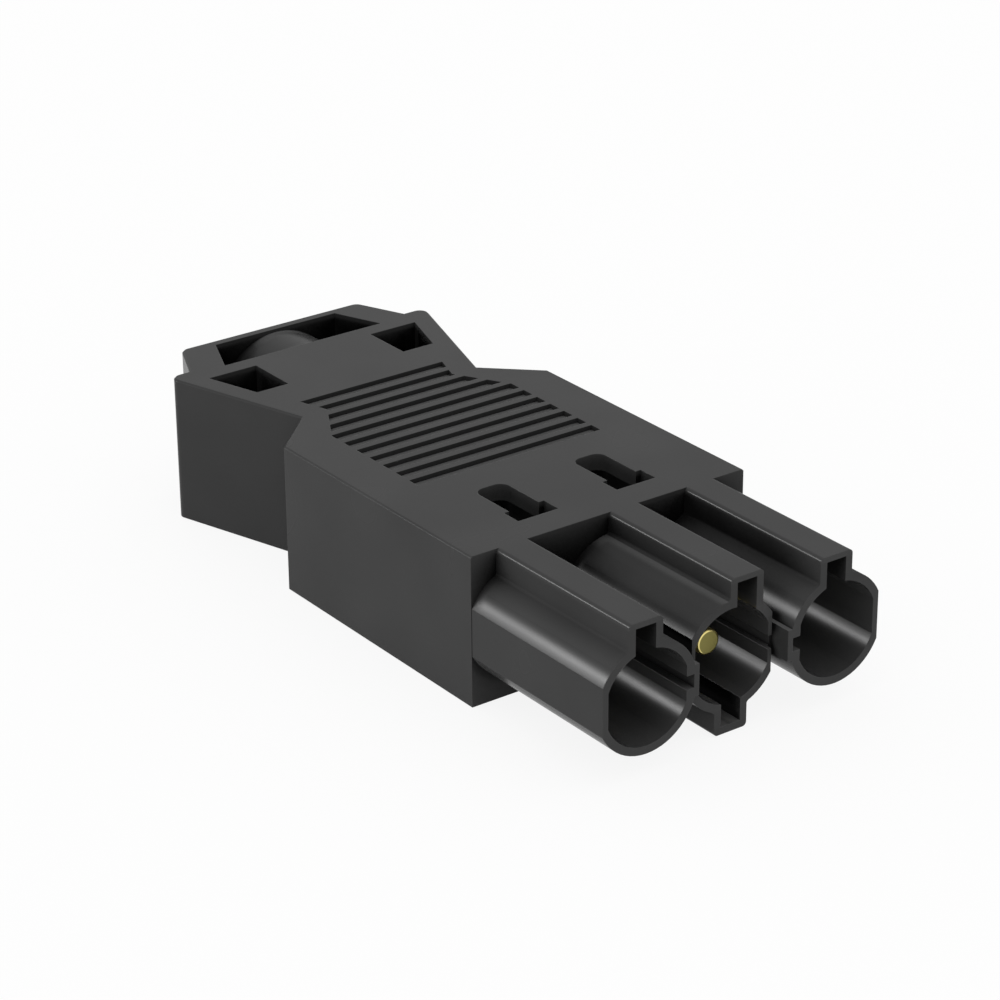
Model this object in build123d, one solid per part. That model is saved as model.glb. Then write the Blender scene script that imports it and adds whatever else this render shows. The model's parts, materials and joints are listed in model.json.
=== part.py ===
from build123d import *
import os
from math import sqrt

# A three-pole installation connector, male side, with its cable housing in one moulding.
# Millimetres. +X points out of the sleeves, +Y across, +Z up, and the underside lies on Z = 0.
# The origin is the middle of the underside.

# Driving dimensions: stations along X, from the rear face forwards
neck_length = 6.5
flare_length = 19.7
shoulder_length = 5.9
body_length = 36.2
sleeve_length = 22.7
centre_sleeve_setback = 2.0

# Driving dimensions: widths across Y and the height
flare_width = 37.5
flare_step = 3.15
neck_taper = 2.8
waist_width = 25.1
body_width = 37.5
height = 18.0

# Walls and roundings of the housing
side_wall = 1.8
top_wall = 2.0
corner_radius = 1.2
edge_chamfer = 0.2

# Sleeves, keys and rails
sleeve_inset = 0.05
bore_radius = 5.55
sleeve_wall = 0.95
bore_flat = 5.15
outer_flat = 5.85
centre_bore_flat = 5.0
centre_outer_flat = 5.45
key_slot_width = 2.65
key_wall = 0.9
key_roof = 0.65
key_corner = 0.5
key_root = 0.4
outer_key_offset = -0.35
centre_key_offset = 1.9
rail_height = 3.7
rail_reach = 6.8
web_setback = 0.7
web_overlap = 0.3
notch_height = 1.6
notch_depth = 1.0
centre_notch_depth = 0.7

# Contact pins
pin_radius = 1.5
pin_chamfer = 0.2
collar_radius = 1.8
earth_pin_recess = 3.8
power_pin_recess = 8.7
pin_hole_clearance = 0.1
flange_radius = 2.7
flange_thickness = 1.6
tail_radius = 1.1
tail_length = 7.0
neck_radius = 0.75

# Grip grooves in the top face
groove_count = 11
groove_pitch = 2.6
groove_width = 1.65
groove_depth = 0.55
groove_start = 3.85
grip_waist_width = 17.8
grip_rear_width = 20.7
grip_body_width = 25.5
grip_rear_reach = 4.4
grip_front_reach = 6.7

# Latch windows in the top face
window_pitch = 13.5
window_front = 4.1
window_bar_length = 2.6
window_bar_width = 5.4
window_slot_length = 6.65
window_slot_width = 4.05
window_round = 1.3
window_recess = 2.8
window_clearance = 0.3

# Rear pocket, cable tube and driver wells
rear_skin = 1.25
pocket_length = 6.3
pocket_rear_width = 17.4
pocket_front_width = 22.6
pocket_web = 1.2
tube_radius = 8.6
cable_radius = 5.25
well_start = 3.3
well_length = 7.1
well_reach = 2.4
well_skin = 2.8
well_depth = 10.0
well_floor = 1.8
well_wall = 1.2
seat_ribs = 2
seat_rib_thickness = 1.2
seat_rib_drop = 3.5

# Underside cover
cover_thickness = 2.0
cover_margin = 1.0
cover_clearance = 0.15
cover_rib_width = 1.2
cover_rib_height = 1.5
cover_rib_length = 14.0
cover_rib_spacing = 12.0
cover_rib_setback = 0.5
cover_screw_clearance = 0.1
boss_radius = 2.6
boss_setback = 3.4
boss_spacing = 18.0
tongue_length = 0.8
tongue_bottom = 0.8
tongue_thickness = 0.8
tongue_width = 12.0
cover_screw_radius = 1.05
cover_screw_length = 9.0
cover_head_radius = 2.2
cover_head_height = 1.2
pilot_clearance = 0.05

# Contact carrier and what it holds
carrier_length = 19.1
carrier_clearance = 0.15
carrier_gap = 0.1
chamber_front = 5.4
chamber_length = 11.0
chamber_width = 8.6
chamber_ceiling = 12.8
funnel_side = 7.0
throat_side = 4.2
retainer_front = 2.4
retainer_thickness = 1.7
retainer_margin = 2.65
retainer_top = 13.0
fit_gap = 0.1
terminal_length = 9.4
terminal_width = 8.0
terminal_bottom = 4.4
terminal_top = 12.6
terminal_chamfer = 0.5
terminal_bore_clearance = 0.03
wire_bore_radius = 1.9
wire_bore_depth = 4.9
terminal_web = 1.0
terminal_screw_inset = 2.5
terminal_screw_radius = 1.45
terminal_screw_clearance = 0.05
terminal_head_radius = 2.6
terminal_head_height = 1.6
guard_thickness = 0.35
guard_width = 2.2
guard_length = 4.4
guard_drop = 2.6
driver_slot_width = 0.7
driver_slot_depth = 0.8

# Cable clamp
clamp_screw_inset = 3.1
clamp_screw_radius = 1.45
clamp_screw_clearance = 0.2
clamp_head_radius = 2.1
clamp_head_height = 1.7
saddle_length = 6.4
saddle_end = 2.1
saddle_bottom = 2.3
saddle_top = 5.7
saddle_chamfer = 1.0
saddle_arch_clearance = 0.15
nut_side = 5.5
nut_thickness = 1.8
nut_chamfer = 0.3
nut_bore_clearance = 0.03

# Stations worked out from the driving dimensions
total_length = neck_length + flare_length + shoulder_length + body_length + sleeve_length
x_rear = -total_length / 2
x_flare = x_rear + neck_length
x_waist = x_flare + flare_length
x_shoulder = x_waist + shoulder_length
x_front = x_shoulder + body_length
x_mouth = x_front + sleeve_length
mid_height = height / 2
outer_radius = bore_radius + sleeve_wall
neck_front_width = flare_width - 2 * flare_step
neck_rear_width = neck_front_width - 2 * neck_taper
pitch = body_width / 2 - outer_flat - sleeve_inset
retainer_width = 2 * (pitch + retainer_margin)
cavity_top = height - top_wall
poles = {"line": -pitch, "earth": 0.0, "neutral": pitch}

# How far a cut runs past the face that it opens
BEYOND = 1.0

# Two places nearer than this are the same place
TINY = 1e-4

os.makedirs("parts", exist_ok=True)


def box(x0, x1, y0, y1, z0, z1):
    """A plain block between two opposite corners."""
    centre = Location(((x0 + x1) / 2, (y0 + y1) / 2, (z0 + z1) / 2))
    return centre * Box(x1 - x0, y1 - y0, z1 - z0)


def rod(radius, x0, x1, y, z):
    """A round rod along X."""
    return extrude(Plane.YZ.offset(x0) * Location((y, z)) * Circle(radius), x1 - x0)


def post(radius, z0, z1, x, y):
    """A round rod along Z."""
    return extrude(Plane.XY.offset(z0) * Location((x, y)) * Circle(radius), z1 - z0)


def prism(face, z0, z1):
    """A flat face in XY raised from z0 to z1."""
    return extrude(Plane.XY.offset(z0) * face, z1 - z0)


def mirrored_outline(half_points):
    """A closed face from one side's (x, y) points and their mirror image."""
    other = [(x, -y) for x, y in reversed(half_points)]
    return make_face(Polyline(*half_points, *other, close=True).edges())


def rounded(face, stations, radius):
    """The face with its corners at the given X stations rounded."""
    at_station = [v for v in face.vertices() if any(abs(v.X - x) < TINY for x in stations)]
    return fillet([v for v in at_station if outermost(v, face)], radius)


def outermost(vertex, face):
    """True for a corner that is the widest of the face at its own station."""
    same = [abs(v.Y) for v in face.vertices() if abs(v.X - vertex.X) < TINY]
    return abs(vertex.Y) > max(same) - TINY


def flare_half_width(x):
    """Half the housing's width on its flared stretch."""
    along = (x_waist - x) / flare_length
    return (waist_width + along * (flare_width - waist_width)) / 2


# The clamp screws stand in the driver wells, which run from just inside them to the flared wall
clamp_x = x_flare + well_start + well_length / 2
clamp_y = flare_half_width(clamp_x) - well_skin - clamp_screw_inset
clamp_places = [(clamp_x, -clamp_y), (clamp_x, clamp_y)]
well_inner = clamp_y - well_reach


# Housing: outline, sleeves and cuts

flare_and_body = [
    (x_flare, flare_width / 2),
    (x_waist, waist_width / 2),
    (x_shoulder, body_width / 2),
    (x_front, body_width / 2),
]
neck = [(x_rear, neck_rear_width / 2), (x_flare, neck_front_width / 2)]


def housing_outline():
    """The top view: a narrow neck, a flare, a waist and the wide body, its rear corners rounded."""
    return rounded(mirrored_outline(neck + flare_and_body), (x_rear, x_flare), corner_radius)


def inner_outline(inset):
    """The flared and wide stretch's outline, drawn in by the inset."""
    return offset(mirrored_outline(flare_and_body), amount=-inset, kind=Kind.INTERSECTION)


def band(face, centre, reach_low, reach_high):
    """The face between two upright flats either side of a centre."""
    strip = Location((centre + (reach_high - reach_low) / 2, mid_height))
    return face & (strip * Rectangle(reach_low + reach_high, 2 * height))


def key_block(y, width, z0, z1, corner=0.0):
    """A key's upright rectangle in the sleeve's section, with its free corners rounded."""
    plate = Location((y, (z0 + z1) / 2)) * Rectangle(width, abs(z1 - z0))
    if corner == 0.0:
        return plate
    free = [v for v in plate.vertices() if abs(v.Y - z1) < TINY]
    return fillet(free, corner)


def is_key_root(vertex, key_sides):
    """True where a key's side meets the round of its sleeve."""
    at_side = any(abs(vertex.X - side) < TINY for side in key_sides)
    return at_side and outer_radius / 2 < abs(vertex.Y - mid_height) < mid_height - key_corner - TINY


def sleeve_sections(pole):
    """Outer and inner sections of one sleeve, drawn with Y across and Z up."""
    y = poles[pole]
    middle = pole == "earth"
    inward = 1 if y < 0 else -1
    key_y = y + (centre_key_offset if middle else outer_key_offset)
    key_width = key_slot_width + 2 * key_wall
    disc = Location((y, mid_height)) * Circle(outer_radius)
    hole = Location((y, mid_height)) * Circle(bore_radius)
    flat = centre_outer_flat if middle else outer_flat
    reach = (flat, flat)
    if not middle:
        reach = (flat, outer_radius) if inward > 0 else (outer_radius, flat)
    outer = band(disc, y, *reach) + key_block(key_y, key_width, mid_height, height, key_corner)
    key_sides = [key_y - key_width / 2, key_y + key_width / 2]
    inner_flat = centre_bore_flat if middle else bore_flat
    inner = band(hole, y, inner_flat, inner_flat)
    inner += key_block(key_y, key_slot_width, mid_height, height - key_roof)
    if middle:
        outer += key_block(y, key_width, mid_height, 0.0, key_corner)
        key_sides += [y - key_width / 2, y + key_width / 2]
        inner += key_block(y, key_slot_width, mid_height, key_wall)
        notch_reach = centre_bore_flat + centre_notch_depth
        inner += Location((y + notch_reach / 2, mid_height)) * Rectangle(notch_reach, notch_height)
    else:
        rail_y = y + inward * rail_reach / 2
        outer += Location((rail_y, mid_height)) * Rectangle(rail_reach, rail_height)
        notch_reach = bore_flat + notch_depth
        notch_y = y + inward * notch_reach / 2
        inner += Location((notch_y, mid_height)) * Rectangle(notch_reach, notch_height)
    roots = [v for v in outer.vertices() if is_key_root(v, key_sides)]
    return fillet(roots, key_root), inner


def webs():
    """Webs that join the side pads to the centre sleeve, set back from its mouth."""
    front = x_mouth - centre_sleeve_setback - web_setback
    half = rail_height / 2
    near, far = centre_outer_flat - web_overlap, pitch - rail_reach + web_overlap
    return [
        box(x_front, front, *sorted((side * near, side * far)), mid_height - half, mid_height + half)
        for side in (-1, 1)
    ]


def sleeve(pole):
    """One sleeve's tube and the hollow that goes through it."""
    outer, inner = sleeve_sections(pole)
    length = sleeve_length - (centre_sleeve_setback if pole == "earth" else 0.0)
    tube = extrude(Plane.YZ.offset(x_front - side_wall) * outer, length + side_wall)
    hollow = extrude(Plane.YZ.offset(x_front) * inner, length + BEYOND)
    return tube, hollow


def grip_grooves():
    """Cross grooves in the top face, with ends that follow the housing's own outline."""
    grip = mirrored_outline([
        (x_waist - grip_rear_reach, grip_rear_width / 2),
        (x_waist, grip_waist_width / 2),
        (x_waist + grip_front_reach, grip_body_width / 2),
        (x_waist + groove_count * groove_pitch, grip_body_width / 2),
    ])
    field = prism(grip, height - groove_depth, height + BEYOND)
    strips = []
    for index in range(groove_count):
        x = x_waist - groove_start + index * groove_pitch
        strips.append(box(x, x + groove_width, -body_width, body_width, 0, height + 2 * BEYOND))
    return field & Compound(strips)


def window_face(side, growth=0.0):
    """One latch window: a slot with a rounded rear end and a wider bar at its front."""
    y = side * window_pitch / 2
    bar_x = x_front - window_front - window_bar_length / 2
    bar = Location((bar_x, y)) * Rectangle(window_bar_length + 2 * growth, window_bar_width + 2 * growth)
    slot_front = x_front - window_front - window_bar_length
    slot = Rectangle(window_slot_length + 2 * growth, window_slot_width + 2 * growth)
    rear = slot.vertices().group_by(Axis.X)[0]
    slot = fillet(rear, window_round)
    return bar + Location((slot_front - window_slot_length / 2, y)) * slot


def rear_pocket(z0, z1):
    """The pocket beside the cable tube, with the tube left standing in it."""
    start = x_rear + rear_skin
    corners = [(start, pocket_rear_width / 2), (start + pocket_length, pocket_front_width / 2)]
    tube = rod(tube_radius, x_rear - BEYOND, x_waist, 0, mid_height)
    return prism(mirrored_outline(corners), z0, z1) - tube


def well_face(side):
    """One driver well, its outer side parallel to the flared wall."""
    x0 = x_flare + well_start
    x1 = x0 + well_length
    points = [
        (x0, side * well_inner),
        (x1, side * well_inner),
        (x1, side * (flare_half_width(x1) - well_skin)),
        (x0, side * (flare_half_width(x0) - well_skin)),
    ]
    return make_face(Polyline(*points, close=True).edges())


def cavity():
    """The hollow of the housing, open at the underside, with the wells and seat left in it."""
    room = prism(inner_outline(side_wall), -BEYOND, cavity_top)
    room += prism(inner_outline(cover_margin), -BEYOND, cover_thickness)
    x0 = x_flare
    x1 = x_flare + well_start + well_length + well_wall
    low = height - well_depth - well_floor
    for side in (-1, 1):
        y = sorted((side * (well_inner - well_wall), side * flare_width))
        room -= box(x0, x1, y[0], y[1], low, height)
    for index in range(seat_ribs):
        x = x_flare + well_start + (index + 0.5) * well_length / seat_ribs
        half = seat_rib_thickness / 2
        rib = box(x - half, x + half, -well_inner, well_inner, cavity_top - seat_rib_drop, height)
        room -= rib - rod(cable_radius, x - half - BEYOND, x + half + BEYOND, 0, mid_height)
    for x, y in boss_places():
        room -= boss(x, y)
    return room + tongue(growth=cover_clearance)


def boss(x, y):
    """A square screw boss that runs out into the side wall beside it."""
    inner, outer = abs(y) - boss_radius, flare_width / 2
    across = sorted((inner, outer)) if y > 0 else sorted((-inner, -outer))
    return box(x - boss_radius, x + boss_radius, *across, cover_thickness, height)


def boss_places():
    """Where the cover's two screws go, on either side of the waist."""
    return [(x_waist - boss_setback, side * boss_spacing / 2) for side in (-1, 1)]


def tongue(growth=0.0):
    """The ledge on the cover's front edge that tucks under the housing's front wall."""
    front = x_front - cover_margin - cover_clearance
    half = tongue_width / 2 + growth
    low, high = tongue_bottom - growth, tongue_bottom + tongue_thickness + growth
    return box(front - BEYOND, front + tongue_length + growth, -half, half, low, high)


def housing():
    """The one-piece moulding: body, keyed sleeves, wells, windows, grip and cable tube."""
    body = prism(housing_outline(), 0, height)
    top_edges = [e for e in body.faces().sort_by(Axis.Z)[-1].edges() if e.center().X < x_front - TINY]
    body = chamfer(top_edges, edge_chamfer)
    hollows = []
    for pole in poles:
        tube, hollow = sleeve(pole)
        body += tube
        hollows.append(hollow)
    for web in webs():
        body += web
    for hollow in hollows:
        body -= hollow
    body -= cavity()
    body -= grip_grooves()
    for side in (-1, 1):
        body -= prism(window_face(side), cavity_top - BEYOND, height + BEYOND)
        body -= prism(well_face(side), height - well_depth, height + BEYOND)
    body -= rear_pocket(mid_height + pocket_web / 2, height + BEYOND)
    body -= rear_pocket(-BEYOND, mid_height - pocket_web / 2)
    body -= rod(cable_radius, x_rear - BEYOND, x_flare + side_wall + BEYOND, 0, mid_height)
    for y in poles.values():
        hole_radius = collar_radius + pin_hole_clearance
        body -= rod(hole_radius, x_front - side_wall - BEYOND, x_front + BEYOND, y, mid_height)
    for x, y in boss_places():
        top = cover_thickness + cover_screw_length
        body -= post(cover_screw_radius + pilot_clearance, 0, top, x, y)
    for x, y in clamp_places:
        hole_radius = clamp_screw_radius + clamp_screw_clearance
        body -= post(hole_radius, 0, height - well_depth + BEYOND, x, y)
    return body


# Underside cover and its screws


def sunk_screw(x, y, growth=0.0):
    """A flat-headed screw's body from the underside up, its head sunk flush."""
    head = post(cover_head_radius + growth, 0, cover_head_height, x, y)
    return head + post(cover_screw_radius + growth, 0, cover_screw_length, x, y)


def bottom_cover():
    """The plate that closes the underside, with a front tongue, two ribs and its screw holes."""
    plate = prism(inner_outline(cover_margin + cover_clearance), 0, cover_thickness)
    plate += tongue()
    x0 = x_shoulder + cover_rib_setback
    for side in (-1, 1):
        y = side * cover_rib_spacing / 2
        half = cover_rib_width / 2
        top = cover_thickness + cover_rib_height
        low = cover_thickness / 2
        plate += box(x0, x0 + cover_rib_length, y - half, y + half, low, top)
    for x, y in boss_places():
        plate -= sunk_screw(x, y, growth=cover_screw_clearance)
    return plate


def slotted(screw, x, y, z, radius, below):
    """The screw with a driver slot cut in its head, above or below z."""
    depth = driver_slot_depth
    z0, z1 = (z - BEYOND, z + depth) if below else (z - depth, z + BEYOND)
    half = driver_slot_width / 2
    return screw - box(x - radius - BEYOND, x + radius + BEYOND, y - half, y + half, z0, z1)


def cover_screws():
    """The two slotted screws that hold the cover."""
    return [slotted(sunk_screw(x, y), x, y, 0, cover_head_radius, True) for x, y in boss_places()]


# Contact carrier, retainer, pins and terminals

carrier_x1 = x_front - side_wall - carrier_gap
carrier_x0 = carrier_x1 - carrier_length
retainer_x1 = carrier_x1 - retainer_front
retainer_x0 = retainer_x1 - retainer_thickness
chamber_x1 = carrier_x1 - chamber_front
chamber_x0 = chamber_x1 - chamber_length
terminal_x1 = chamber_x1 - 2 * fit_gap
terminal_x0 = terminal_x1 - terminal_length
carrier_bottom = cover_thickness + carrier_clearance


def wire_funnel(y):
    """The square funnel that leads a wire from the carrier's rear face into its chamber."""
    sides = [(carrier_x0, funnel_side / 2), (chamber_x0, throat_side / 2)]
    wedge = prism(mirrored_outline(sides), -funnel_side / 2, funnel_side / 2)
    return Location((0, y, mid_height)) * (wedge & Rotation(90, 0, 0) * wedge)


def contact_carrier():
    """The insert that holds the pins and terminals, a chamber for each pole."""
    half = body_width / 2 - side_wall - carrier_clearance
    block = box(carrier_x0, carrier_x1, -half, half, carrier_bottom, cavity_top - carrier_clearance)
    groove_half = retainer_width / 2 + fit_gap
    block -= box(retainer_x0 - fit_gap, retainer_x1 + fit_gap, -groove_half, groove_half,
                 0, retainer_top + fit_gap)
    for y in poles.values():
        seat = carrier_x1 - flange_thickness - 2 * fit_gap
        block -= rod(flange_radius + fit_gap, seat, carrier_x1 + BEYOND, y, mid_height)
        block -= rod(tail_radius + fit_gap, chamber_x1 - BEYOND, carrier_x1, y, mid_height)
        width = chamber_width / 2
        block -= box(chamber_x0, chamber_x1, y - width, y + width, 0, chamber_ceiling)
        block -= wire_funnel(y)
    for side in (-1, 1):
        block -= prism(window_face(side, growth=window_clearance), cavity_top - window_recess, height)
    return block


def contact_retainer():
    """The comb that drops into the carrier and locks the three pins by their necks."""
    half = retainer_width / 2
    plate = box(retainer_x0, retainer_x1, -half, half, carrier_bottom, retainer_top)
    slot_half = neck_radius + fit_gap
    for y in poles.values():
        x0, x1 = retainer_x0 - BEYOND, retainer_x1 + BEYOND
        plate -= box(x0, x1, y - slot_half, y + slot_half, mid_height, height)
        plate -= rod(slot_half, x0, x1, y, mid_height)
    return plate


def contact_pin(pole):
    """A turned pin: chamfered shank, collar, flange, a locking neck behind it and a tail."""
    setback = centre_sleeve_setback + earth_pin_recess if pole == "earth" else power_pin_recess
    tip = x_mouth - setback
    flange_front = carrier_x1 - fit_gap / 2
    flange_rear = flange_front - flange_thickness
    tail_end = flange_rear - tail_length
    profile = [
        (tail_end, 0),
        (tail_end, tail_radius),
        (retainer_x0 - fit_gap, tail_radius),
        (retainer_x0 - fit_gap, neck_radius),
        (flange_rear, neck_radius),
        (flange_rear, flange_radius),
        (flange_front, flange_radius),
        (flange_front, collar_radius),
        (x_front, collar_radius),
        (x_front, pin_radius),
        (tip - pin_chamfer, pin_radius),
        (tip, pin_radius - pin_chamfer),
        (tip, 0),
    ]
    face = make_face(Polyline(*profile, close=True).edges())
    return Location((0, poles[pole], mid_height)) * revolve(face, Axis.X)


screw_x = terminal_x0 + terminal_screw_inset
guard_bottom = mid_height - sqrt(wire_bore_radius ** 2 - (guard_width / 2) ** 2) + fit_gap


def terminal(pole):
    """A brass clamp block: pin bore at the front, wire bore at the rear, screw hole below."""
    y = poles[pole]
    half = terminal_width / 2
    block = box(terminal_x0, terminal_x1, y - half, y + half, terminal_bottom, terminal_top)
    block = chamfer(block.edges().filter_by(Axis.X), terminal_chamfer)
    bore_end = terminal_x0 + wire_bore_depth
    tail_bore_radius = tail_radius + terminal_bore_clearance
    block -= rod(tail_bore_radius, bore_end + terminal_web, terminal_x1 + BEYOND, y, mid_height)
    block -= rod(wire_bore_radius, terminal_x0 - BEYOND, bore_end, y, mid_height)
    block -= post(terminal_screw_radius + terminal_screw_clearance, 0, mid_height, screw_x, y)
    return block


def wire_guard(pole):
    """A thin bent strip that lies between the screw's end and the wire."""
    y = poles[pole]
    half = guard_width / 2
    rear = terminal_x0 - fit_gap
    top = guard_bottom + guard_thickness
    strip = box(rear, rear + guard_length, y - half, y + half, guard_bottom, top)
    return strip + box(rear - guard_thickness, rear, y - half, y + half, top - guard_drop, top)


def terminal_screws():
    """The three slotted screws that press the guards on the wires."""
    screws = []
    for y in poles.values():
        screw = post(terminal_screw_radius, terminal_bottom, guard_bottom, screw_x, y)
        head_bottom = terminal_bottom - terminal_head_height
        screw += post(terminal_head_radius, head_bottom, terminal_bottom, screw_x, y)
        screws.append(slotted(screw, screw_x, y, head_bottom, terminal_head_radius, True))
    return screws


# Cable clamp


def clamp_saddle():
    """The bar under the cable, with an arch for it and a pocket for each nut."""
    x0, x1 = clamp_x - saddle_length / 2, clamp_x + saddle_length / 2
    half_width = clamp_y + saddle_end
    bar = box(x0, x1, -half_width, half_width, saddle_bottom, saddle_top)
    bar = chamfer(bar.edges().filter_by(Axis.Z), saddle_chamfer)
    bar -= rod(cable_radius + saddle_arch_clearance, x0 - BEYOND, x1 + BEYOND, 0, mid_height)
    half = nut_side / 2 + fit_gap
    nut_seat = saddle_bottom + nut_thickness + 2 * fit_gap
    for x, y in clamp_places:
        bar -= post(clamp_screw_radius + clamp_screw_clearance, 0, saddle_top + BEYOND, x, y)
        bar -= box(x - half, x + half, y - half, y + half, 0, nut_seat)
    return bar


def clamp_nuts():
    """The two square nuts under the saddle."""
    nuts = []
    half = nut_side / 2
    z0 = saddle_bottom + fit_gap
    for x, y in clamp_places:
        nut = box(x - half, x + half, y - half, y + half, z0, z0 + nut_thickness)
        nut = chamfer(nut.edges().filter_by(Axis.Z), nut_chamfer)
        nuts.append(nut - post(clamp_screw_radius + nut_bore_clearance, 0, saddle_top, x, y))
    return nuts


def clamp_screws():
    """The two screws that pull the saddle up, their slotted heads in the driver wells."""
    screws = []
    seat = height - well_depth
    for x, y in clamp_places:
        screw = post(clamp_screw_radius, saddle_bottom + fit_gap, seat, x, y)
        screw += post(clamp_head_radius, seat, seat + clamp_head_height, x, y)
        screws.append(slotted(screw, x, y, seat + clamp_head_height, clamp_head_radius, False))
    return screws


def write(name, shape):
    """One STEP file for one named piece, or for a group of like fasteners."""
    solids = shape if isinstance(shape, list) else [shape]
    flat = [solid for item in solids for solid in item.solids()]
    part = flat[0] if len(flat) == 1 else Compound(flat)
    part.label = name
    export_step(part, os.path.join("parts", name + ".step"))


write("housing", housing())
write("bottom_cover", bottom_cover())
write("cover_screws", cover_screws())
write("contact_carrier", contact_carrier())
write("contact_retainer", contact_retainer())
for pole in poles:
    write("pin_" + pole, contact_pin(pole))
    write("terminal_" + pole, terminal(pole))
    write("wire_guard_" + pole, wire_guard(pole))
write("terminal_screws", terminal_screws())
write("clamp_saddle", clamp_saddle())
write("clamp_nuts", clamp_nuts())
write("clamp_screws", clamp_screws())
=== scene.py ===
# %% [markdown]
# # An installation connector, dressed for a product photograph
#
# The solid model gives the shapes. This lesson gives them their looks: moulded black polyamide,
# brass contacts, zinc-plated screws, soft studio light and the camera that took the picture.
# Everything is in metres in the model's own frame: +X out of the sleeves, +Z up.

import json
import math

import bmesh
import bpy
import numpy as np
from mathutils import Matrix, Vector


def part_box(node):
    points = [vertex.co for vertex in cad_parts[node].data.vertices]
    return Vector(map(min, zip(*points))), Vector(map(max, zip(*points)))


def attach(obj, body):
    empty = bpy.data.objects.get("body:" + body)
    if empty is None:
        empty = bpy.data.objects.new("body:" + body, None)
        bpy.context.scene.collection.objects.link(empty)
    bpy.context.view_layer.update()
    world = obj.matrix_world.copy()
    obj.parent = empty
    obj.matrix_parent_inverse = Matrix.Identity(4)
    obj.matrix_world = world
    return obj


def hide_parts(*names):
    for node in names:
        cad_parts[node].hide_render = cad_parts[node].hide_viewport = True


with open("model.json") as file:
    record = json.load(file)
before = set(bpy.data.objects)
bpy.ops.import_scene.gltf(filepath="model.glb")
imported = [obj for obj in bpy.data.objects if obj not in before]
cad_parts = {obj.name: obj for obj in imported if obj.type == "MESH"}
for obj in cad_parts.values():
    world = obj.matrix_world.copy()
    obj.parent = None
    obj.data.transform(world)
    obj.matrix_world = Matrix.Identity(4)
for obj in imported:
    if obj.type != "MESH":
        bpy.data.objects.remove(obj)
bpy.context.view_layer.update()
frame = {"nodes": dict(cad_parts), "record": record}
nodes = frame["nodes"]
print("CAD pieces:", len(nodes))

# %% [markdown]
# ### Two places that the looks depend on
#
# Some finishes change with place. The keys on the sleeves stand in front of the body's front
# face, and the rims of wells and grooves lie just under its top face. Both faces could be typed
# in as numbers. They are worked out from the housing's box, so that they follow the model.

# %% Find the body's front and top
SLEEVE_LENGTH = 0.0227
housing_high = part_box("housing")[1]
BODY_FRONT = housing_high.x - SLEEVE_LENGTH
BODY_TOP = housing_high.z
print("front of the body at x", round(BODY_FRONT * 1000, 2), "mm, top at z", round(BODY_TOP * 1000, 2), "mm")

# %% [markdown]
# ## Clean shading
#
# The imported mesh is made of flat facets. Real mouldings have round tubes and flat walls, so a
# facet edge is kept sharp only where two faces meet at a real angle. More facets would do the
# same at a price. An angle test costs nothing and leaves the shape as it is.

# %% Smooth the round faces, keep the real edges
SHARP_ANGLE = math.radians(28)


def smooth_round_faces(obj):
    """Marks an edge sharp where the angle between its two faces is over SHARP_ANGLE."""
    obj.data.shade_smooth()
    obj.data.set_sharp_from_angle(angle=SHARP_ANGLE)


for obj in nodes.values():
    smooth_round_faces(obj)
print("vertices in the housing:", len(nodes["housing"].data.vertices))

# %% [markdown]
# ## Building with nodes
#
# A finish is a network: nodes make patterns, and links carry them to the shader. Written out
# line by line, most of it would only join one socket to the next. The helpers below take both
# numbers and the outputs of other nodes, so that a network reads like a formula.

# %% Feed an input and place a node


def feed(socket, value):
    """Links the value to an input if it is another node's output, and else sets it."""
    if isinstance(value, bpy.types.NodeSocket):
        socket.id_data.links.new(value, socket)
    else:
        socket.default_value = value


def fill(node, values):
    """Feeds a node by name. Names with a capital are inputs, the rest are its properties."""
    for key, value in values.items():
        if key[0].isupper():
            feed(node.inputs[key.replace("_", " ")], value)
        else:
            setattr(node, key, value)
    return node


def add(tree, kind, **values):
    """A new node of that kind, fed and set by name."""
    return fill(tree.nodes.new(kind), values)


# %% The steps that most formulas need


def maths(tree, operation, *values, clamped=False):
    """The result of one step of arithmetic on numbers or outputs."""
    node = add(tree, "ShaderNodeMath", operation=operation, use_clamp=clamped)
    for socket, value in zip(node.inputs, values):
        feed(socket, value)
    return node.outputs[0]


def ramp(tree, value, start, end, first=0.0, last=1.0, shape="LINEAR"):
    """Goes from first, while the value is short of start, to last, once it is past end."""
    node = add(tree, "ShaderNodeMapRange", interpolation_type=shape, Value=value,
               From_Min=start, From_Max=end, To_Min=first, To_Max=last)
    return node.outputs["Result"]


def mixed(tree, kind, factor, first, second):
    """Colours (RGBA) or directions (VECTOR): all first where the factor is 0, second at 1."""
    return add(tree, "ShaderNodeMix", data_type=kind, Factor=factor, A=first, B=second).outputs["Result"]


def opaque(color):
    """A colour of three numbers with the fourth that a socket wants."""
    return (*color, 1)


# %% [markdown]
# ## Effects shared by the materials
#
# Three effects are used by more than one finish, so each is a group that a material can call:
# a fine grain, a finder of outer edges and a finder of hollows. Each gives out only masks,
# numbers and normals. The shader itself stays in the material, where it is easy to read.

# %% Make a group and call it
SOCKETS = {"number": "NodeSocketFloat", "direction": "NodeSocketVector"}


def new_group(name, inputs, outputs):
    """An empty group, the sockets that bring its inputs in and the ones that take results out."""
    group = bpy.data.node_groups.new(name, "ShaderNodeTree")
    for socket_name, kind, value in inputs:
        socket = group.interface.new_socket(socket_name, in_out="INPUT", socket_type=SOCKETS[kind])
        if value is not None:
            socket.default_value = value
    for socket_name, kind in outputs:
        group.interface.new_socket(socket_name, in_out="OUTPUT", socket_type=SOCKETS[kind])
    return group, group.nodes.new("NodeGroupInput").outputs, group.nodes.new("NodeGroupOutput").inputs


def use(tree, group, **values):
    """The outputs of a shared group, placed in a material and fed by name."""
    node = add(tree, "ShaderNodeGroup", node_tree=group)
    return fill(node, values).outputs


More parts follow.
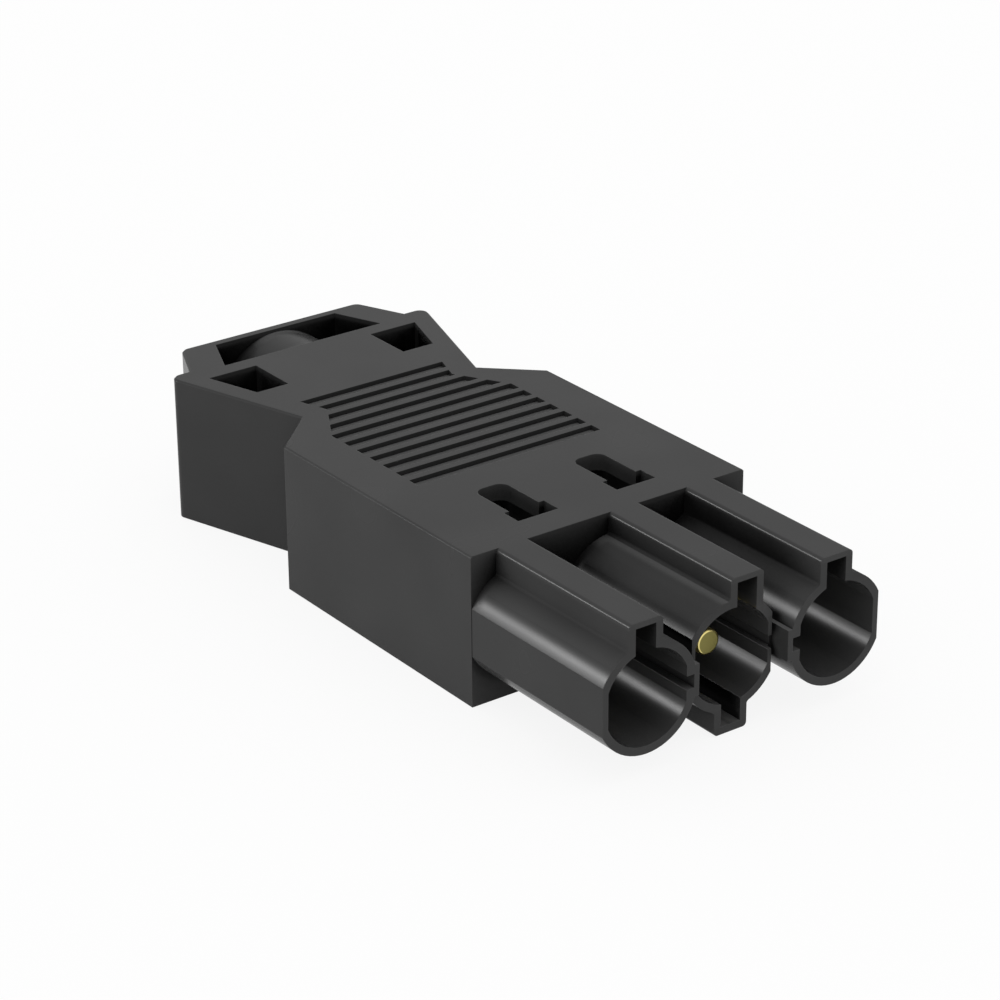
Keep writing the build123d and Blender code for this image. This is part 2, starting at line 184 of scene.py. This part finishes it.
# %% [markdown]
# ### Grain
#
# A mould for black plastic is eroded by sparks, which leaves a fine even grain, and every part
# takes it over. Cut or plated metal has a grain too. A fine noise turns the normal as bumps of
# a few microns would. A broad one changes roughness and tone slowly, as uneven polish does. Two
# sizes are needed: the fine one is seen as satin, the broad one stops a wall from looking flat.

# %% Moulded grain: two sizes of noise make a normal, a roughness and a tone
DRIFT_SCALE = 90.0
DRIFT_RANGE = (0.1, 0.9)
GRAIN_HEIGHT = 0.00002

grain, given, result = new_group(
    "moulded grain",
    [("Scale", "number", 5000.0), ("Roughness", "number", 0.4),
     ("Spread", "number", 0.08), ("Depth", "number", 0.25)],
    [("Roughness", "number"), ("Normal", "direction"), ("Tone", "number")],
)
place = add(grain, "ShaderNodeTexCoord").outputs["Object"]
fine = add(grain, "ShaderNodeTexNoise", Vector=place, Scale=given["Scale"], Detail=3.0).outputs["Fac"]
broad = add(grain, "ShaderNodeTexNoise", Vector=place, Scale=DRIFT_SCALE, Detail=1.0).outputs["Fac"]
bump = add(grain, "ShaderNodeBump", Distance=GRAIN_HEIGHT, Strength=given["Depth"], Height=fine)
drift = ramp(grain, broad, *DRIFT_RANGE, shape="SMOOTHERSTEP")
swing = maths(grain, "MULTIPLY", maths(grain, "SUBTRACT", 0.5, drift), given["Spread"])
feed(result["Roughness"], maths(grain, "SUBTRACT", given["Roughness"], swing, clamped=True))
feed(result["Normal"], bump.outputs["Normal"])
feed(result["Tone"], drift)
print("grain:", len(grain.nodes), "nodes")

# %% [markdown]
# ### Edges
#
# No moulded edge is sharp. It has a tiny radius, which draws a thin line of light, and the
# plastic also paints that line into its base colour as a painted highlight. The bevel node gives
# the normal that such a radius would have. Where it turns away from the plain normal there is an
# edge, so one comparison finds them all.

# %% Edge mask: one where a rounded normal leaves the plain one, which is only near an edge
BEVEL_LOOKS = 6
COSINE_PLAIN = 0.995
COSINE_EDGE = 0.9

edges, given, result = new_group(
    "soft edges",
    [("Radius", "number", 0.0002), ("Normal", "direction", None)],
    [("Normal", "direction"), ("Mask", "number")],
)
rounded = add(edges, "ShaderNodeBevel", samples=BEVEL_LOOKS, Radius=given["Radius"], Normal=given["Normal"])
plain = add(edges, "ShaderNodeNewGeometry")
cosine = add(edges, "ShaderNodeVectorMath", operation="DOT_PRODUCT")
feed(cosine.inputs[0], rounded.outputs["Normal"])
feed(cosine.inputs[1], plain.outputs["Normal"])
feed(result["Normal"], rounded.outputs["Normal"])
feed(result["Mask"], ramp(edges, cosine.outputs["Value"], COSINE_PLAIN, COSINE_EDGE))
print("edges:", len(edges.nodes), "nodes")

# %% [markdown]
# ### Hollows
#
# Deep wells, windows and bores swallow light, and a mould's deep cores aren't polished. Even
# light alone leaves them too pale, because it reaches in from everywhere, so their base colour
# is darkened as painted shade. Two looks round each point measure its depth: the far one asks
# how much sky is left within 9 mm, the near one does so within 1.6 mm and finds inner corners.
# A floor that faces straight up gets more light than a wall at the same depth, so its painted
# shade is lighter.

# %% Sky left round a point, and the painted shade that the far look gives
SKY_LOOKS = 8
FLOOR_GAIN = 0.25
UPWARD = (0.9, 0.99)
DARK_SKY, OPEN_SKY = 0.42, 0.78
DEEPEST_SHADE = 0.04

hollows, given, result = new_group(
    "cavity",
    [("Far", "number", 0.009), ("Near", "number", 0.0016)],
    [("Shade", "number"), ("Corner", "number")],
)
here = add(hollows, "ShaderNodeTexCoord").outputs
far_sky, near_sky = (
    add(hollows, "ShaderNodeAmbientOcclusion", samples=SKY_LOOKS, only_local=True,
        Distance=given[reach]).outputs["AO"]
    for reach in ("Far", "Near")
)
facing = add(hollows, "ShaderNodeSeparateXYZ", Vector=here["Normal"]).outputs
level = ramp(hollows, facing["Z"], *UPWARD)
sky = maths(hollows, "MULTIPLY_ADD", level, FLOOR_GAIN, far_sky)
# Painted shade: the less sky is left, the darker the base colour.
deep_shade = ramp(hollows, sky, DARK_SKY, OPEN_SKY, first=DEEPEST_SHADE)
print("sky:", len(hollows.nodes), "nodes")

# %% [markdown]
# ### Grooves and inner corners
#
# The grip's grooves are less than a millimetre deep. Their floors would catch the light, so
# their base colour is made paler as painted light, while inner corners stay dull. The near look
# tells both: a little less sky than in the open means a groove, if the floor is level, and much
# less means a corner.

# %% Painted light on the floors of grooves, and a mask of inner corners
GROOVE_PAINTED_LIGHT = 1.1
GROOVE_SKY = (0.98, 0.85)
CORNER_SKY = (0.9, 0.78)

# Painted light: the shade of level groove floors is multiplied up, so their base colour is paler.
painted_light_floors = maths(hollows, "MULTIPLY", level, ramp(hollows, near_sky, *GROOVE_SKY))
painted_light_gain = maths(hollows, "MULTIPLY_ADD", painted_light_floors, GROOVE_PAINTED_LIGHT, 1.0)
corner = ramp(hollows, near_sky, *CORNER_SKY)
print("grooves are lifted to", 1 + GROOVE_PAINTED_LIGHT, "times their shade")

# %% [markdown]
# ### Rims and the flanks of the keys
#
# The first half millimetre or so under the top face still gets light from the side, so the
# painted shade of walls is lighter there. The flanks of the keys are dull from top to root,
# because the mould parts there and isn't polished. Neither can be told from the sky that is left,
# but both lie at known depths under the top, so each is a band of heights. The flanks start
# where the body ends.

# %% Bands at known depths under the top face
RIM_DEPTH = (0.0004, 0.0008)
RIM_SHADE = 0.5
ROOT_DEPTH = (0.0032, 0.0044)
CLEAR_OF_BODY = 0.0001

at = add(hollows, "ShaderNodeSeparateXYZ", Vector=here["Object"]).outputs
rim_start, rim_end = (BODY_TOP - depth for depth in RIM_DEPTH)
root_start, root_end = (BODY_TOP - depth for depth in ROOT_DEPTH)
# Painted light: the shade of walls just under the top face is kept from going darker than RIM_SHADE.
rim_shade = ramp(hollows, at["Z"], rim_end, rim_start, last=RIM_SHADE)
under_rim = ramp(hollows, at["Z"], rim_start, rim_end)
over_root = ramp(hollows, at["Z"], root_end, root_start)
on_sleeves = maths(hollows, "GREATER_THAN", at["X"], BODY_FRONT + CLEAR_OF_BODY)
key_flank = maths(hollows, "MULTIPLY", maths(hollows, "MULTIPLY", over_root, under_rim), on_sleeves)
# Painted shade of the hollows, with painted light at rims and on groove floors.
shade = maths(hollows, "MAXIMUM", rim_shade, deep_shade)
feed(result["Shade"], maths(hollows, "MULTIPLY", shade, painted_light_gain))
feed(result["Corner"], maths(hollows, "MAXIMUM", key_flank, corner))
print("hollows:", len(hollows.nodes), "nodes")

# %% [markdown]
# ## The finishes
#
# Each finish is a short function, called with the values of one real material. Every one starts
# in the same way, with a Principled shader, and differs in what it feeds to it.

# %% Start a material


def new_material(name):
    """A new material, its tree and its Principled shader's inputs."""
    material = bpy.data.materials.new(name)
    material.use_nodes = True
    tree = material.node_tree
    return material, tree, tree.nodes["Principled BSDF"].inputs


# %% [markdown]
# ### Moulded plastic
#
# The housing is black polyamide: a dark base under a soft, wide sheen. Its specular level is
# low, because the fine grain scatters most of what a smooth face would reflect. The base drifts
# a little in tone, edges get a painted highlight in the base colour, and hollows get painted
# shade in it and are duller. In a corner the rounding is taken back, because a real inner corner
# draws no line of light.

# %% Black plastic as a function of its colours, roughness, grain and edge radius
PLASTIC_IOR = 1.5
SATIN_LEVEL = 0.046
PLASTIC_GRAIN = 4200.0
PLASTIC_SPREAD = 0.04
TONE_DRIFT = 0.08
DULL_CORNER = 0.8
# Share of the painted highlight that edges get in the base colour.
EDGE_HIGHLIGHT_SHARE = 0.6


def plastic(name, color, edge_highlight_color, roughness, grain_depth, edge_radius):
    """Base = (tone mixed to a painted edge highlight) x painted shade; roughness = grain + dull corners.

    The painted edge highlight is the edge mask x its share x (1 - corner). The normal is the rounded
    one outside corners and the plain grained one inside them.
    """
    material, tree, shader = new_material(name)
    feed(shader["IOR"], PLASTIC_IOR)
    feed(shader["Specular IOR Level"], SATIN_LEVEL)
    texture = use(tree, grain, Roughness=roughness, Spread=PLASTIC_SPREAD, Depth=grain_depth,
                  Scale=PLASTIC_GRAIN)
    rounded = use(tree, edges, Radius=edge_radius, Normal=texture["Normal"])
    hollow = use(tree, hollows)
    darker, lighter = (opaque([c * (1 + drift) for c in color]) for drift in (-TONE_DRIFT, TONE_DRIFT))
    tone = mixed(tree, "RGBA", texture["Tone"], darker, lighter)
    # Painted highlight: edges are mixed towards the lighter edge highlight colour.
    highlight_outside_corners = maths(tree, "MULTIPLY_ADD", hollow["Corner"], -EDGE_HIGHLIGHT_SHARE, EDGE_HIGHLIGHT_SHARE)
    painted_edge_highlight = maths(tree, "MULTIPLY", rounded["Mask"], highlight_outside_corners)
    tone_with_edge_highlight = mixed(tree, "RGBA", painted_edge_highlight, tone, opaque(edge_highlight_color))
    # Painted shade: the base colour is scaled by the Shade of the hollows group.
    shaded = add(tree, "ShaderNodeVectorMath", operation="SCALE", Scale=hollow["Shade"])
    feed(shaded.inputs[0], tone_with_edge_highlight)
    feed(shader["Base Color"], shaded.outputs[0])
    dulled = maths(tree, "MULTIPLY_ADD", hollow["Corner"], DULL_CORNER, texture["Roughness"], clamped=True)
    feed(shader["Roughness"], dulled)
    normal = mixed(tree, "VECTOR", hollow["Corner"], rounded["Normal"], texture["Normal"])
    feed(shader["Normal"], normal)
    return material


# %% [markdown]
# ### Housing and inner pieces
#
# The housing and its cover share one plastic. The carrier, its retainer and the cable saddle
# are filled with glass fibre to keep their shape in heat, so they are darker and rougher.

# %% Two plastics
# The edge colours are painted highlights along the edges.
housing_plastic = plastic(
    "housing_plastic", color=(0.048, 0.048, 0.048), edge_highlight_color=(0.085, 0.085, 0.085),
    roughness=0.26, grain_depth=0.1, edge_radius=0.00012)
insert_plastic = plastic(
    "insert_plastic", color=(0.015, 0.015, 0.015), edge_highlight_color=(0.02, 0.02, 0.02),
    roughness=0.45, grain_depth=0.15, edge_radius=0.0001)
print("nodes in each plastic:", len(housing_plastic.node_tree.nodes))

# %% [markdown]
# ### Brass and plated steel
#
# Metal is all reflection, so its colour is the colour of its highlights. Turned brass drifts
# between a fresh and a darker yellow, and zinc on steel between two greys. A face that looks
# along +X, such as a pin's end deep inside its sleeve, gets a darker colour as painted shade.

# %% Metal as a function of its tones, roughness and grain
METAL_DEPTH = 0.35
METAL_SPREAD = 0.12
METAL_EDGE = 0.00012
END_FACING = (0.93, 0.99)


def metal(name, color, dark, end_shade_color, roughness, scale):
    """Base = tone drifting from dark to colour, mixed to the painted end shade where the face looks along
    +X.
    """
    material, tree, shader = new_material(name)
    feed(shader["Metallic"], 1.0)
    texture = use(tree, grain, Roughness=roughness, Spread=METAL_SPREAD, Depth=METAL_DEPTH, Scale=scale)
    rounded = use(tree, edges, Radius=METAL_EDGE, Normal=texture["Normal"])
    tone = mixed(tree, "RGBA", texture["Tone"], opaque(dark), opaque(color))
    normal = add(tree, "ShaderNodeTexCoord").outputs["Normal"]
    facing = add(tree, "ShaderNodeSeparateXYZ", Vector=normal).outputs
    at_end = ramp(tree, facing["X"], *END_FACING)
    # Painted shade: faces that look along +X take the darker end colour.
    feed(shader["Base Color"], mixed(tree, "RGBA", at_end, tone, opaque(end_shade_color)))
    feed(shader["Roughness"], texture["Roughness"])
    feed(shader["Normal"], rounded["Normal"])
    return material


# The end colours are painted shade; on the brass they darken the pin ends inside the sleeves.
contact_brass = metal(
    "contact_brass", color=(1.0, 0.85, 0.34), dark=(0.86, 0.72, 0.26), end_shade_color=(0.205, 0.183, 0.06),
    roughness=0.3, scale=3000.0)
screw_steel = metal(
    "screw_steel", color=(0.62, 0.62, 0.60), dark=(0.45, 0.45, 0.45), end_shade_color=(0.4, 0.4, 0.4),
    roughness=0.3, scale=3500.0)
print("nodes in each metal:", len(contact_brass.node_tree.nodes))

# %% [markdown]
# ### Give each piece its finish
#
# The model's record names a material slot for every piece, as a parts list does. So no piece is
# chosen by hand here: its slot picks its finish.

# %% Dress the pieces
finishes = {
    "housing_plastic": housing_plastic,
    "insert_plastic": insert_plastic,
    "contact_brass": contact_brass,
    "screw_steel": screw_steel,
}
slot_of = {s["node"]: s["material_slot"] for s in frame["record"]["subparts"]}
for name, obj in nodes.items():
    obj.data.materials.clear()
    obj.data.materials.append(finishes[slot_of[name]])
for finish in finishes:
    print(finish, "on", sum(slot == finish for slot in slot_of.values()), "pieces")

# %% [markdown]
# ## Turned screws
#
# Seven slotted screws hold this connector together: two under the cover, two in the cable clamp
# and one in each terminal. The solid model draws them with plain shanks. A real one is turned
# from steel wire, its slot is sawn and its thread is rolled, so the thread is a ridge that
# climbs one pitch a turn. A grid of angles and heights shows that well, because one formula
# gives the radius everywhere. First the plain ones are measured, so that each new screw fills
# the same space.

# %% Measure the plain screws
SCREWS_APART = 0.002
SAME_LEVEL = 0.00002


def mesh_points(obj):
    """All vertices of a piece as one array of rows x, y, z."""
    points = np.empty(len(obj.data.vertices) * 3)
    obj.data.vertices.foreach_get("co", points)
    return points.reshape(-1, 3)


def measure_screw(points):
    """Centre, levels from the head's face to the tip, and half widths of head, shank and slot."""
    middle = (points.min(axis=0) + points.max(axis=0)) / 2
    away = np.hypot(points[:, 0] - middle[0], points[:, 1] - middle[1])
    levels = np.unique(points[:, 2].round(5))
    at_level = [np.abs(points[:, 2] - z) < SAME_LEVEL for z in levels]
    if away[at_level[0]].max() < away[at_level[-1]].max():
        levels, at_level = levels[::-1], at_level[::-1]
    return {
        "centre": middle[:2],
        "levels": levels,
        "head": away.max(),
        "shank": away[at_level[-1]].max(),
        "slot": np.abs(points[at_level[0], 1] - middle[1]).min(),
    }


def measure_screws(obj):
    """Sizes of each screw in a piece, split where the sorted y values leave a gap."""
    points = mesh_points(obj)
    points = points[np.argsort(points[:, 1])]
    gaps = np.where(np.diff(points[:, 1]) > SCREWS_APART)[0] + 1
    return [measure_screw(group) for group in np.split(points, gaps)]


screw_sizes = {name: measure_screws(nodes[name]) for name in nodes if name.endswith("_screws")}
for name, screws in screw_sizes.items():
    widths = [f"{part} {screws[0][part] * 2000:.2f}" for part in ("head", "shank", "slot")]
    print(name, len(screws), *widths, "mm")

# %% [markdown]
# ### A disc with a slot
#
# The head's face is a disc, and its slot is straight, so the rows of its grid run along the
# slot. Two rows lie at each edge of the slot, one high and one low, which makes its walls
# upright. A boolean cut would do it too, but it leaves long thin faces.

# %% Rows of the disc
DISC_ROWS = 33
EDGE_CLEARANCE = 0.02
TIE_BREAK = 1e-6


def head_rows(radius, slot):
    """Places of the disc's rows as a share of the radius, and whether each lies in the slot.

    The share is the sine of an even angle from -90 to 90 degrees. The edges of the slot, at
    plus and minus slot / radius, come twice: once outside the slot and once in it.
    """
    even = np.sin(np.radians(np.linspace(-90, 90, DISC_ROWS)))
    edge = slot / radius
    outside = np.concatenate([even[np.abs(even) > edge * (1 + EDGE_CLEARANCE)], [-edge, edge]])
    inside = np.concatenate([even[np.abs(even) < edge * (1 - EDGE_CLEARANCE)], [-edge, edge]])
    rows = np.concatenate([outside, inside])
    sunk = np.arange(len(rows)) >= len(outside)
    order = np.argsort(rows * np.where(sunk, 1 - TIE_BREAK, 1))
    return rows[order], sunk[order]


cover_screw = screw_sizes["cover_screws"][0]
share, sunk = head_rows(cover_screw["head"], cover_screw["slot"])
print("rows of a cover screw's head:", len(share), "of which in the slot:", sunk.sum())

# %% [markdown]
# ### A thread
#
# A rolled thread is a triangle wound round the shank. Its depth at a point depends only on how
# far round and how far up that point is, so one wave of triangles gives every radius. The ridge
# fades out at both ends, as it does where the rolling die starts and stops.

# %% Radius of a thread


def thread_radius(angle, height, start, end, pitch, outer, depth):
    """Outer radius - depth x (1 - ridge x fade), so that only the core is left at both ends.

    The turn is height / pitch - angle / (2 pi). The ridge runs 0, 1, 0 over each whole turn, so
    the crest climbs one pitch for each time round. The fade is the distance to the nearer end
    over one pitch, at most one.
    """
    turn = height / pitch - angle / (2 * np.pi)
    ridge = 1 - np.abs(2 * (turn - np.floor(turn)) - 1)
    low_end, high_end = min(start, end), max(start, end)
    fade = np.clip(np.minimum(height - low_end, high_end - height) / pitch, 0, 1)
    return outer - depth * (1 - ridge * fade)


crest = thread_radius(np.pi * np.arange(3), 0.005, 0.0, 0.01, pitch=0.001, outer=0.0015, depth=0.0003)
print("radius at no, half and a whole turn, mm:", (crest * 1000).round(2))

# %% [markdown]
# ### One closed skin
#
# The skin starts in the middle of the tip, runs up the thread, out under the head, up its rim,
# and ends as the disc that crosses the head. The columns of the rim stand at the ends of the disc's
# rows, so the two grids meet without a gap and the screw is one closed body.

# %% Faces of any grid


def grid_faces(rows, columns, first, closed):
    """Corner numbers of the four-sided faces of a grid, joined round its columns if closed."""
    r, c = np.meshgrid(np.arange(rows - 1), np.arange(columns - (not closed)), indexing="ij")
    after = (c + 1) % columns
    corners = [r * columns + c, r * columns + after, (r + 1) * columns + after, (r + 1) * columns + c]
    return np.stack(corners, axis=-1).reshape(-1, 4) + first


print("faces of a grid of 3 by 4 points:", len(grid_faces(3, 4, 0, closed=False)), "open and",
      len(grid_faces(3, 4, 0, closed=True)), "joined round")

# %% The screw's turned side and its disc
STEPS_A_PITCH = 8
DISC_COLUMNS = 13
TIP_LENGTH = 0.0003
TIP_SHARE = 0.8


def screw_side(size, angle, low_column, pitch, depth):
    """The turned side: x = r cos(angle), y = r sin(angle), with r and z from tip to rim.

    A low column ends at the slot's floor, because it stands where the slot leaves the head.
    """
    face, slot_floor, under, tip = size["levels"]
    start = tip + np.sign(under - tip) * TIP_LENGTH
    heights = np.linspace(start, under, int(abs(under - tip) / pitch * STEPS_A_PITCH))
    a, h = np.meshgrid(angle, heights)
    thread = thread_radius(a, h, start, under, pitch, size["shank"], depth)
    around = np.ones_like(angle)
    point = TIP_SHARE * (size["shank"] - depth)
    r = np.vstack([0 * around, point * around, thread, *[size["head"] * around] * 3])
    rim = np.where(low_column, slot_floor, face)
    z = np.vstack([tip * around, tip * around, h, under * around, slot_floor * around, rim])
    return np.stack([r * np.cos(angle), r * np.sin(angle), z], axis=-1)


def screw_disc(size, share, sunk):
    """The head's face: x = u sqrt(1 - v v) R, y = v R, z high or low by the slot."""
    face, slot_floor = size["levels"][:2]
    u, v = np.meshgrid(np.linspace(-1, 1, DISC_COLUMNS), share)
    z = np.where(sunk, slot_floor, face)[:, None] * np.ones_like(u)
    half = np.sqrt(np.clip(1 - v * v, 0, 1))
    return np.stack([u * half * size["head"], v * size["head"], z], axis=-1)


# %% The two grids as one skin
# For each piece: how far the thread climbs in a turn, and how deep it is.
THREADS = {
    "cover_screws": (0.0009, 0.00028),
    "clamp_screws": (0.0005, 0.00026),
    "terminal_screws": (0.0005, 0.00026),
}


def screw_skin(size, pitch, depth):
    """Points and faces of one screw: its turned side, then its disc, moved to its centre."""
    share, sunk = head_rows(size["head"], size["slot"])
    right = np.arcsin(share)
    angle = np.concatenate([right, np.pi - right[::-1]])
    low_column = np.concatenate([sunk, sunk[::-1]])
    side = screw_side(size, angle, low_column, pitch, depth)
    disc = screw_disc(size, share, sunk)
    points = np.vstack([side.reshape(-1, 3), disc.reshape(-1, 3)])
    points[:, :2] += size["centre"]
    faces = np.vstack([
        grid_faces(len(side), len(angle), 0, closed=True),
        grid_faces(len(share), DISC_COLUMNS, side[..., 0].size, closed=False),
    ])
    return points, faces


points, faces = screw_skin(cover_screw, *THREADS["cover_screws"])
print("one cover screw:", len(points), "points,", len(faces), "faces")

# %% [markdown]
# ### In place of the plain ones
#
# The two grids of a screw meet point on point, and a pole is many points in one place. Merging
# those twins closes the skin. Each new piece rides with the body, keeps the slot of the plain
# one and takes its place. Under the cover the pitch is coarse, as in screws that cut their own
# way into plastic, and elsewhere it is that of a metric machine screw.

# %% Build the screws
MERGE_WITHIN = 0.0000002


def stand_in(node, points, faces):
    """A new object in place of a node: its twin points merged and its faces turned outward."""
    mesh = bpy.data.meshes.new("turned_" + node)
    mesh.from_pydata(points.tolist(), [], faces.tolist())
    skin = bmesh.new()
    skin.from_mesh(mesh)
    bmesh.ops.remove_doubles(skin, verts=skin.verts, dist=MERGE_WITHIN)
    bmesh.ops.dissolve_degenerate(skin, edges=skin.edges, dist=MERGE_WITHIN)
    bmesh.ops.recalc_face_normals(skin, faces=skin.faces)
    open_edges = sum(not e.is_manifold for e in skin.edges)
    skin.to_mesh(mesh)
    skin.free()
    obj = bpy.data.objects.new("turned_" + node, mesh)
    bpy.context.scene.collection.objects.link(obj)
    smooth_round_faces(obj)
    mesh.materials.append(finishes[slot_of[node]])
    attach(obj, "root")
    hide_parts(node)
    print(obj.name, "faces", len(mesh.polygons), "open edges", open_edges)


for node, (pitch, depth) in THREADS.items():
    points, faces, first = [], [], 0
    for size in screw_sizes[node]:
        screw_points, screw_faces = screw_skin(size, pitch, depth)
        points.append(screw_points)
        faces.append(screw_faces + first)
        first += len(screw_points)
    stand_in(node, np.vstack(points), np.vstack(faces))

# %% [markdown]
# ## Turned contact pins
#
# The three pins come off an automatic lathe: a brass rod turns and a tool follows the outline.
# So one outline, carried once round the axis, gives the whole pin. The lathe also rounds the
# tip, which lets it slide into the socket, and its facing cut leaves fine rings on the end.

# %% Outline of a pin
PIN_TIP_ROUND = 0.00032
TIP_STEPS = 9
RING_PITCH = 0.00022
RING_DEPTH = 0.000006
RING_STEPS = 40


def pin_tip(end, outer):
    """Outline (x, r) from the rod's side, round the tip and over the ringed end to the axis.

    Tip: x = end - R + R sin(t), r = outer - R + R cos(t), for t from 0 to 90 degrees.
    Rings: x = end - depth (1 - cos(2 pi r / pitch)) / 2.
    """
    t = np.radians(np.linspace(0, 90, TIP_STEPS))
    tip_x = end - PIN_TIP_ROUND * (1 - np.sin(t))
    tip_r = outer - PIN_TIP_ROUND * (1 - np.cos(t))
    face_r = np.linspace(outer - PIN_TIP_ROUND, 0, RING_STEPS)[1:]
    face_x = end - RING_DEPTH * (1 - np.cos(2 * np.pi * face_r / RING_PITCH)) / 2
    return np.column_stack([np.concatenate([tip_x, face_x]), np.concatenate([tip_r, face_r])])


def pin_outline(node):
    """Middle of a pin, and its outline (x, r): the steps that its mesh has, then the new tip."""
    points = mesh_points(nodes[node])
    middle = (points.min(axis=0) + points.max(axis=0)) / 2
    r = np.hypot(points[:, 1] - middle[1], points[:, 2] - middle[2])
    corners = np.unique(np.column_stack([points[:, 0], r]).round(5), axis=0)
    stations = np.unique(corners[:, 0])
    outline = [(stations[0], 0.0), (stations[0], corners[0, 1])]
    for x in stations[1:-2]:
        radii = corners[corners[:, 0] == x, 1]
        ends = sorted({radii.min(), radii.max()}, key=lambda radius: abs(radius - outline[-1][1]))
        outline += [(x, radius) for radius in ends]
    return middle, np.vstack([outline, pin_tip(end=stations[-1], outer=outline[-1][1])])


print("outline of a pin:", len(pin_outline("pin_earth")[1]), "points")

# %% [markdown]
# ### Round the axis
#
# The outline is turned in even steps of angle. Where it starts and ends on the axis all columns
# fall together, and merging them makes the poles, so that each pin is closed.

# %% Build the pins
PIN_COLUMNS = 64


def pin_skin(node):
    """Surface of a pin: x from the outline, y = r cos(angle), z = r sin(angle)."""
    middle, outline = pin_outline(node)
    angle = np.linspace(0, 2 * np.pi, PIN_COLUMNS, endpoint=False)
    a, r = np.meshgrid(angle, outline[:, 1])
    x = outline[:, :1] * np.ones_like(a)
    skin = np.stack([x, middle[1] + r * np.cos(a), middle[2] + r * np.sin(a)], axis=-1)
    return skin.reshape(-1, 3), grid_faces(len(outline), PIN_COLUMNS, 0, closed=True)


for node in ("pin_line", "pin_earth", "pin_neutral"):
    stand_in(node, *pin_skin(node))

# %% [markdown]
# ## Camera
#
# The picture was taken from the front, to the side and above. The camera's place, turn and
# lens were worked out from the connector's straight edges and round sleeve mouths. A long lens
# keeps the far edges nearly parallel to the near ones, as product pictures do. The azimuth is
# counted from +X, and the small roll is in the picture too.

# %% Camera
CAMERA_AT = Vector((BODY_FRONT + 0.25560, -0.20113, BODY_TOP + 0.15122))
AZIMUTH, ELEVATION, ROLL = (math.radians(degrees) for degrees in (-36.083, 24.7335, -0.4484))
LENS, SENSOR_WIDTH = 119.05, 36.0
NEAREST_SEEN = 0.01

camera = bpy.data.objects.new("camera", bpy.data.cameras.new("camera"))
camera.data.lens = LENS
camera.data.sensor_width = SENSOR_WIDTH
camera.data.clip_start = NEAREST_SEEN
quarter = math.pi / 2
heading = Matrix.Rotation(AZIMUTH + quarter, 4, "Z")
tilt = Matrix.Rotation(quarter - ELEVATION, 4, "X")
camera.matrix_world = Matrix.Translation(CAMERA_AT) @ heading @ tilt @ Matrix.Rotation(ROLL, 4, "Z")
bpy.context.scene.collection.objects.link(camera)
bpy.context.scene.camera = camera
print("camera at, mm:", [round(v * 1000, 1) for v in CAMERA_AT])

# %% [markdown]
# ## Studio
#
# Such a cut-out is shot in a white tent: light of the same strength comes from all sides, so
# faces that look up, sideways or forwards have nearly one tone, and only hollows go dark. The
# world is that tent.

# %% A white tent
TENT_LEVEL = 0.95

world = bpy.data.worlds.new("studio")
bpy.context.scene.world = world
world.use_nodes = True
fill(world.node_tree.nodes["Background"], {"Color": (1, 1, 1, 1), "Strength": TENT_LEVEL})
bpy.context.scene.view_settings.view_transform = "Standard"
print("tent level:", TENT_LEVEL)

# %% [markdown]
# ### Sheen
#
# One small lamp adds the sheen along the round sleeves, as a bright card in the tent would. It
# gives no diffuse light and nothing throws a shadow from it, so its reflection shows inside the
# bores too. A lit card would do nearly the same, but some of the other views would show it.

# %% A lamp for the sheen
SHEEN_AT = Vector((-0.55, -0.57, 0.298))
SHEEN_TOWARDS = Vector((0.03, 0, 0.01))
SHEEN_SIDE = 0.15
SHEEN_POWER = 6.6

card = bpy.data.lights.new("sheen strip", "AREA")
card.shape = "SQUARE"
card.size = SHEEN_SIDE
card.energy = SHEEN_POWER
card.use_shadow = False
card.cycles.use_multiple_importance_sampling = False
sheen = bpy.data.objects.new("sheen strip", card)
sheen.location = SHEEN_AT
sheen.rotation_euler = (SHEEN_TOWARDS - SHEEN_AT).to_track_quat("-Z", "Y").to_euler()
sheen.visible_diffuse = False
bpy.context.scene.collection.objects.link(sheen)
print("sheen lamp:", SHEEN_POWER, "W")

# %% [markdown]
# ### Floor
#
# The floor is white paper. Seen directly or in a reflection it is its own light, so that it
# stays white to the horizon, but a small share of what the camera sees is real paper, and that
# share keeps a faint shadow. From below the floor is clear, so the underside can be looked at.
# It lies a tenth of a millimetre low, because two faces in one plane show as stripes.

# %% Floor of white paper
FLOOR_SIZE = 4.0
FLOOR_DROP = 0.0001
PAPER = (0.95, 0.95, 0.95)
SHADOW_SHARE = 0.12


def either(tree, factor, first, second):
    """A mix of two shaders: all first where the factor is 0, second at 1."""
    node = add(tree, "ShaderNodeMixShader", Fac=factor)
    feed(node.inputs[1], first)
    feed(node.inputs[2], second)
    return node.outputs[0]


bpy.ops.mesh.primitive_plane_add(size=FLOOR_SIZE, location=(0, 0, -FLOOR_DROP))
floor = bpy.context.object
floor.name = "floor"
paper = bpy.data.materials.new("floor")
paper.use_nodes = True
tree = paper.node_tree
tree.nodes.remove(tree.nodes["Principled BSDF"])
ray = add(tree, "ShaderNodeLightPath").outputs
seen = maths(tree, "MULTIPLY", ray["Is Camera Ray"], 1 - SHADOW_SHARE)
for way in ("Is Glossy Ray", "Is Transmission Ray"):
    seen = maths(tree, "MAXIMUM", seen, ray[way])
matt = add(tree, "ShaderNodeBsdfDiffuse", Color=opaque(PAPER)).outputs[0]
glow = add(tree, "ShaderNodeEmission", Color=(1, 1, 1, 1)).outputs[0]
clear = add(tree, "ShaderNodeBsdfTransparent").outputs[0]
from_below = add(tree, "ShaderNodeNewGeometry").outputs["Backfacing"]
surface = either(tree, from_below, either(tree, seen, matt, glow), clear)
feed(tree.nodes["Material Output"].inputs["Surface"], surface)
floor.data.materials.append(paper)
print("floor:", FLOOR_SIZE, "m wide,", FLOOR_DROP * 1000, "mm under the part")
